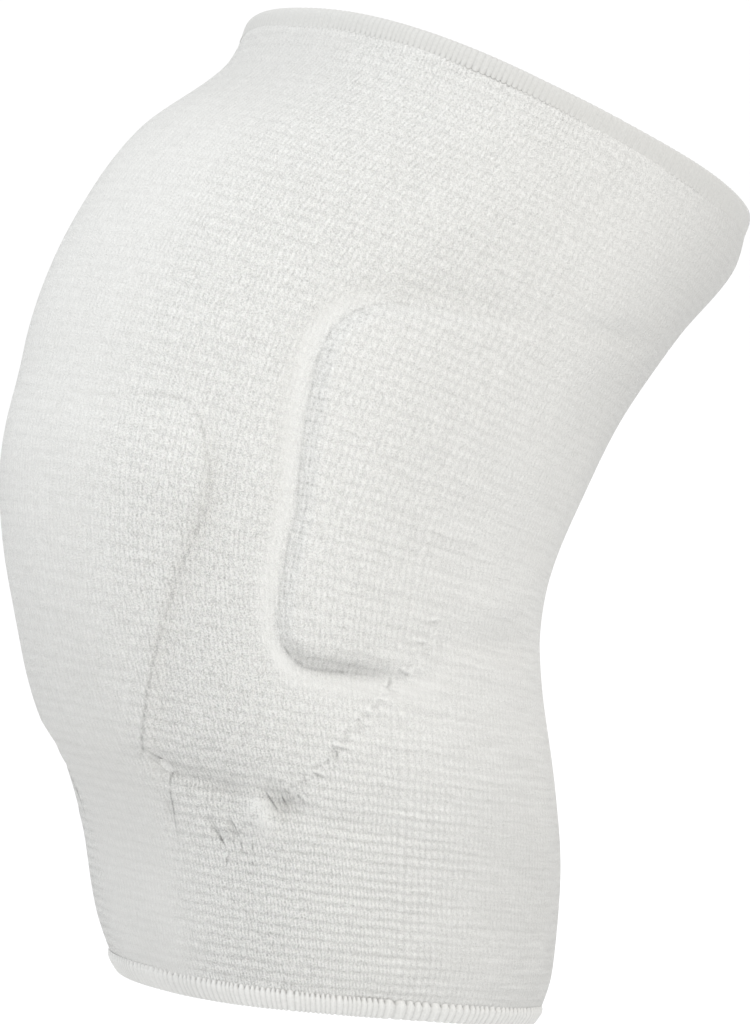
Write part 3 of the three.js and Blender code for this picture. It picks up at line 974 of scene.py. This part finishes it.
def roundTheLeg(tree, wale, course, waleScale, courseScale):  # noise coordinates that close on themselves
    turn = product(tree, wale, 2 * math.pi / knitForm["wales"])
    radius = knitForm["wales"] / (2 * math.pi) * waleScale
    joined = tree.nodes.new("ShaderNodeCombineXYZ")
    feed(tree, joined.inputs["X"], product(tree, calc(tree, "COSINE", turn), radius))
    feed(tree, joined.inputs["Y"], product(tree, calc(tree, "SINE", turn), radius))
    feed(tree, joined.inputs["Z"], product(tree, course, courseScale))
    return joined.outputs[0]


def stitchHeight(tree, objectPlace, wale, course):  # rows, wales, flecks, fuzz and streaks
    look = knitLook
    rowShare = stored(tree, "rowShare")
    row = product(tree, roundWave(tree, course, look["rowRoundness"]), rowShare)
    lean = product(tree, calc(tree, "FRACT", course), look["waleLean"])
    strand = roundWave(tree, total(tree, wale, lean), look["strandRoundness"])
    dot = product(tree, roundWave(tree, course, look["dotRoundness"]), strand, rowShare)
    fleck = less(tree, noise(tree, roundTheLeg(tree, wale, course, 1.0, 1.0), look["fleckScale"]), 0.5)
    fuzz = less(tree, noise(tree, objectPlace, look["fuzzScale"], 3.0), 0.5)
    grain = total(tree, product(tree, strand, look["strandHeight"]),
                  product(tree, fleck, look["fleckHeight"]), product(tree, fuzz, look["fuzzHeight"]))
    streakPlace = roundTheLeg(tree, wale, course, look["streakLength"], look["streakCount"])
    streak = less(tree, noise(tree, streakPlace, 1.0), 0.5)
    return total(tree, product(tree, row, look["rowHeight"]), product(tree, dot, look["dotHeight"]),
                 product(tree, grain, stored(tree, "grainShare")),
                 product(tree, streak, stored(tree, "streakShare"), look["streaks"]))


def edgeMarks(tree, objectPlace, course):  # the painted shade line round each pad and the dotted rows drawn dark within its edge, also sunk into the bump
    look = knitLook
    padEdge = stored(tree, "padEdge")
    broken = product(tree, noise(tree, objectPlace, look["brokenScale"]), look["broken"])
    line = product(tree, bell(tree, padEdge, 0.0, look["edgeWidth"]), stored(tree, "edgeShadeLine"), broken)
    knots = roundWave(tree, product(tree, course, look["knotsPerCourse"]), look["knotRoundness"])
    knots = less(tree, look["knotTop"], knots)
    stripePlace = calc(tree, "DIVIDE", padEdge, look["stripePitch"])
    stripe = less(tree, 1.0, roundWave(tree, stripePlace, look["stripeRoundness"]))
    rim = bell(tree, padEdge, *look["stripeSpot"])
    stripe = product(tree, stripe, knots, rim, broken, stored(tree, "edgeStripeShade"), look["stripes"])
    # painted shade band along the side pad's foot, where its edge faces down
    footShade = total(tree, product(tree, knots, look["fallKnots"]), 1 - look["fallKnots"])
    band = bell(tree, padEdge, *look["fallSpot"])
    footShade = product(tree, footShade, stored(tree, "edgeFootShade"), band, look["footShade"])
    return line, total(tree, stripe, footShade)


def seamPuckers(tree, objectPlace, wale, course):
    look = knitLook
    lumpPlace = roundTheLeg(tree, wale, course, look["lumpLength"], look["lumpCount"])
    lumps = less(tree, noise(tree, lumpPlace, 1.0, 1.0), look["lumpMiddle"])
    patchy = product(tree, noise(tree, objectPlace, look["patchScale"], 1.0), look["patches"])
    nearSeam = bell(tree, stored(tree, "seamAway"), 0.0, look["seamWidth"])
    return product(tree, lumps, nearSeam, patchy, stored(tree, "seamPull"))


def creaseMarks(tree):  # the painted shade in each crease's line and the painted highlight on the knit beside it, both also in the bump
    look = knitLook
    away, lit = stored(tree, "creaseAway"), stored(tree, "creasePaintedHighlight")
    creaseLineShade = product(tree, bell(tree, away, 0.0, look["creaseLine"]), look["creaseDepth"])
    litSide = product(tree, calc(tree, "SIGN", lit), look["creaseHighlightOffset"])
    lip = bell(tree, away, litSide, look["creaseHighlightWidth"])
    return (product(tree, creaseLineShade, stored(tree, "creasePaintedShade")),
            product(tree, lip, calc(tree, "ABSOLUTE", lit)))


def knitMaterial():
    look = knitLook
    material, tree, shader = startMaterial("whiteRibbedKnit")
    objectPlace, wale, course = clothPlaces(tree, "knit")
    drift = less(tree, noise(tree, objectPlace, look["driftScale"]), 0.5)
    course = total(tree, course, product(tree, drift, look["courseDrift"]))
    wale = total(tree, wale, product(tree, drift, look["waleDrift"]))
    line, stripe = edgeMarks(tree, objectPlace, course)
    creaseLineShade, lip = creaseMarks(tree)
    pucker = total(tree, seamPuckers(tree, objectPlace, wale, course), lip)
    height = stitchHeight(tree, objectPlace, wale, course)
    height = less(tree, height, product(tree, total(tree, line, creaseLineShade), look["edgeDepth"]))
    height = less(tree, height, product(tree, stripe, look["stripeDepth"]))
    # painted light and shade of the seam's puckers and of the creases' highlights
    height = total(tree, height, product(tree, pucker, look["puckerPaintedShading"]))
    tone = total(tree, product(tree, height, look["contrast"]), look["tone"])
    tone = less(tree, tone, stored(tree, "paintedShading"))
    colour = mixColour(tree, tone, look["dark"], look["light"])
    raised = total(tree, height, product(tree, pucker, look["puckerHeight"]))
    finishCloth(tree, shader, raised, colour, look)
    return material


shinHemLook = {
    **clothLook,
    "light": (0.70, 0.694, 0.672),
    "dark": (0.26, 0.257, 0.248),
    "tone": 0.85,
    "contrast": 0.3,
    "ribShade": 0.26,
    "slotShade": 0.40,
    "slotRoundness": 2.4,
    "strandsPerRib": 3.0,
    "strandRoundness": 1.6,
    "strandHeight": 0.2,
    "lipWidth": 0.2,
    "bumpDistance": 0.0003,
    "bumpStrength": 0.6,
    "fuzzScale": 1800.0,
}
# the thigh band's copy has fainter ribs and is darker as painted shade, as more of the light from above
# falls on it
thighHemShadedLook = {**shinHemLook, "light": (0.57, 0.565, 0.545), "ribShade": 0.17, "slotShade": 0.35}


def hemMaterial(name, look):
    material, tree, shader = startMaterial(name)
    objectPlace, rib, fromLip = clothPlaces(tree, "welt")
    # painted shade in the gaps between the ribs, deepest at the lip
    gap = less(tree, 1.0, roundWave(tree, rib, look["slotRoundness"]))
    strand = roundWave(tree, product(tree, rib, look["strandsPerRib"]), look["strandRoundness"])
    fuzz = less(tree, noise(tree, objectPlace, look["fuzzScale"], 3.0), 0.5)
    atLip = bell(tree, fromLip, 0.0, look["lipWidth"])
    paintedShading = total(tree, product(tree, atLip, look["slotShade"]), look["ribShade"])
    slot = product(tree, gap, paintedShading, stored(tree, "ribShare"))
    height = total(tree, product(tree, strand, look["strandHeight"]), fuzz)
    tone = less(tree, total(tree, product(tree, height, look["contrast"]), look["tone"]), slot)
    tone = less(tree, tone, stored(tree, "paintedShading"))
    colour = mixColour(tree, tone, look["dark"], look["light"])
    finishCloth(tree, shader, height, colour, look)
    return material


coverLook = {
    **clothLook,
    "light": (0.72, 0.71, 0.69),
    "dark": (0.56, 0.555, 0.54),
    "roughness": 0.9,
    "specular": 0.3,
    "bumpDistance": 0.0002,
    "bumpStrength": 0.7,
    "threads": 1100.0,
    "threadRoundness": 2.0,
    "fuzzScale": 900.0,
    "fuzzHeight": 0.6,
}


def coverMaterial():
    look = coverLook
    material, tree, shader = startMaterial("whitePadCover")
    objectPlace = tree.nodes.new("ShaderNodeTexCoord").outputs["Object"]
    parts = tree.nodes.new("ShaderNodeSeparateXYZ")
    tree.links.new(objectPlace, parts.inputs[0])
    sideways = total(tree, parts.outputs["Y"], parts.outputs["X"])
    rows, columns = (roundWave(tree, product(tree, value, look["threads"]), look["threadRoundness"])
                     for value in (parts.outputs["Z"], sideways))
    fuzz = less(tree, noise(tree, objectPlace, look["fuzzScale"]), 0.5)
    height = total(tree, calc(tree, "MAXIMUM", rows, columns), product(tree, fuzz, look["fuzzHeight"]))
    colour = mixColour(tree, height, look["dark"], look["light"])
    finishCloth(tree, shader, height, colour, look)
    return material


def place(piece, material, slot, node):
    piece.data.materials.append(material)
    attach(piece, "root")
    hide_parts(node)


print("making the knit")
sleeve = makeSleeve()
place(sleeve, knitMaterial(), "knit", "sleeve")
print("making the hem bands")
thighWelt = makeWelt(thighBand)
place(thighWelt, hemMaterial("whiteThighHemShaded", thighHemShadedLook), "hem", "thigh_hem")
shinWelt = makeWelt(shinBand)
place(shinWelt, hemMaterial("whiteShinHem", shinHemLook), "hem", "shin_hem")
print("making the pads")
cover = coverMaterial()
kneecapCushion = makeCushion("kneecapCushion", kneecapOutline, padForm["kneecapThickness"], False)
place(kneecapCushion, cover, "foam", "kneecap_pad")
outerCushion = makeCushion("sideCushionOuter", sideOutline, padForm["sideThickness"], False)
place(outerCushion, cover, "foam", "side_pad_outer")
innerCushion = makeCushion("sideCushionInner", sideOutline, padForm["sideThickness"], True)
place(innerCushion, cover, "foam", "side_pad_inner")

# Floor, light and camera

studio = {
    "floorDrop": 0.1,  # the pad is held up by the leg, clear of the floor
    "floorHalf": 60.0,
    "floorTone": 0.9,
    "horizon": 1.0,
    "zenith": 1.15,
    "zenithFrom": 0.6,
    "keyColour": (1, 0.985, 0.955),
    "keyEnergy": 9.5,
    "keySize": 0.9,
    "keyAzimuth": 66.0,
    "keyElevation": 42.0,
    "fillColour": (0.70, 0.84, 1),
    "fillEnergy": 5.5,
    "fillSize": 1.4,
    "fillAzimuth": -5.0,
    "fillElevation": 52.0,
    "lightDistance": 1.8,
    "cameraAzimuth": 58.0,
    "cameraElevation": 5.0,
    "cameraDistance": 1.6,
    "lookAt": (0.0, 0.0255, 0.0029),
    "lens": 225.0,
}


def directionTo(azimuth, elevation):
    a, e = math.radians(azimuth), math.radians(elevation)
    return np.array([math.sin(a) * math.cos(e), -math.cos(a) * math.cos(e), math.sin(e)])


def aim(thing, position, target):
    thing.location = position
    back = np.asarray(position, float) - np.asarray(target, float)
    back /= np.linalg.norm(back)
    flat = math.hypot(back[0], back[1])
    thing.rotation_euler = (math.atan2(flat, back[2]), 0, math.atan2(back[0], -back[1]))


def makeFloor():
    low = min(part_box("shin_hem")[0][2], cadBox[0][2]) - studio["floorDrop"]
    bpy.ops.object.select_all(action="DESELECT")
    bpy.ops.mesh.primitive_plane_add(size=2 * studio["floorHalf"], location=(0, 0, low))
    floor = bpy.context.object
    floor.name = "floor"
    material, _, shader = startMaterial("paleFloor")
    shader.inputs["Base Color"].default_value = (studio["floorTone"],) * 3 + (1,)
    shader.inputs["Roughness"].default_value = 1.0
    floor.data.materials.append(material)


def makeSky():
    world = bpy.data.worlds.new("paleStudio")
    world.use_nodes = True
    tree = world.node_tree
    background = tree.nodes["Background"]
    direction = tree.nodes.new("ShaderNodeTexCoord").outputs["Generated"]
    parts = tree.nodes.new("ShaderNodeSeparateXYZ")
    tree.links.new(direction, parts.inputs[0])
    ramp = tree.nodes.new("ShaderNodeMapRange")
    ramp.inputs["From Min"].default_value = 0.0
    ramp.inputs["From Max"].default_value = studio["zenithFrom"]
    ramp.inputs["To Min"].default_value = studio["horizon"]
    ramp.inputs["To Max"].default_value = studio["zenith"]
    tree.links.new(parts.outputs["Z"], ramp.inputs["Value"])
    tree.links.new(ramp.outputs["Result"], background.inputs["Strength"])
    background.inputs["Color"].default_value = (1, 1, 1, 1)
    bpy.context.scene.world = world


def makeLight(name):
    data = bpy.data.lights.new(name + "Light", "AREA")
    data.shape = "DISK"
    data.size = studio[name + "Size"]
    data.energy = studio[name + "Energy"]
    data.color = studio[name + "Colour"]
    target = np.array(studio["lookAt"])
    direction = directionTo(studio[name + "Azimuth"], studio[name + "Elevation"])
    aim(addObject(name + "Light", data), target + studio["lightDistance"] * direction, target)


def makeCamera():
    data = bpy.data.cameras.new("camera")
    data.lens = studio["lens"]
    data.sensor_width = 36
    camera = addObject("camera", data)
    target = np.array(studio["lookAt"])
    direction = directionTo(studio["cameraAzimuth"], studio["cameraElevation"])
    aim(camera, target + studio["cameraDistance"] * direction, target)
    bpy.context.scene.camera = camera


print("setting the floor, lights and camera")
makeFloor()
makeSky()
makeLight("key")
makeLight("fill")
makeCamera()
bpy.context.scene.view_settings.view_transform = "Standard"

print("scene made")
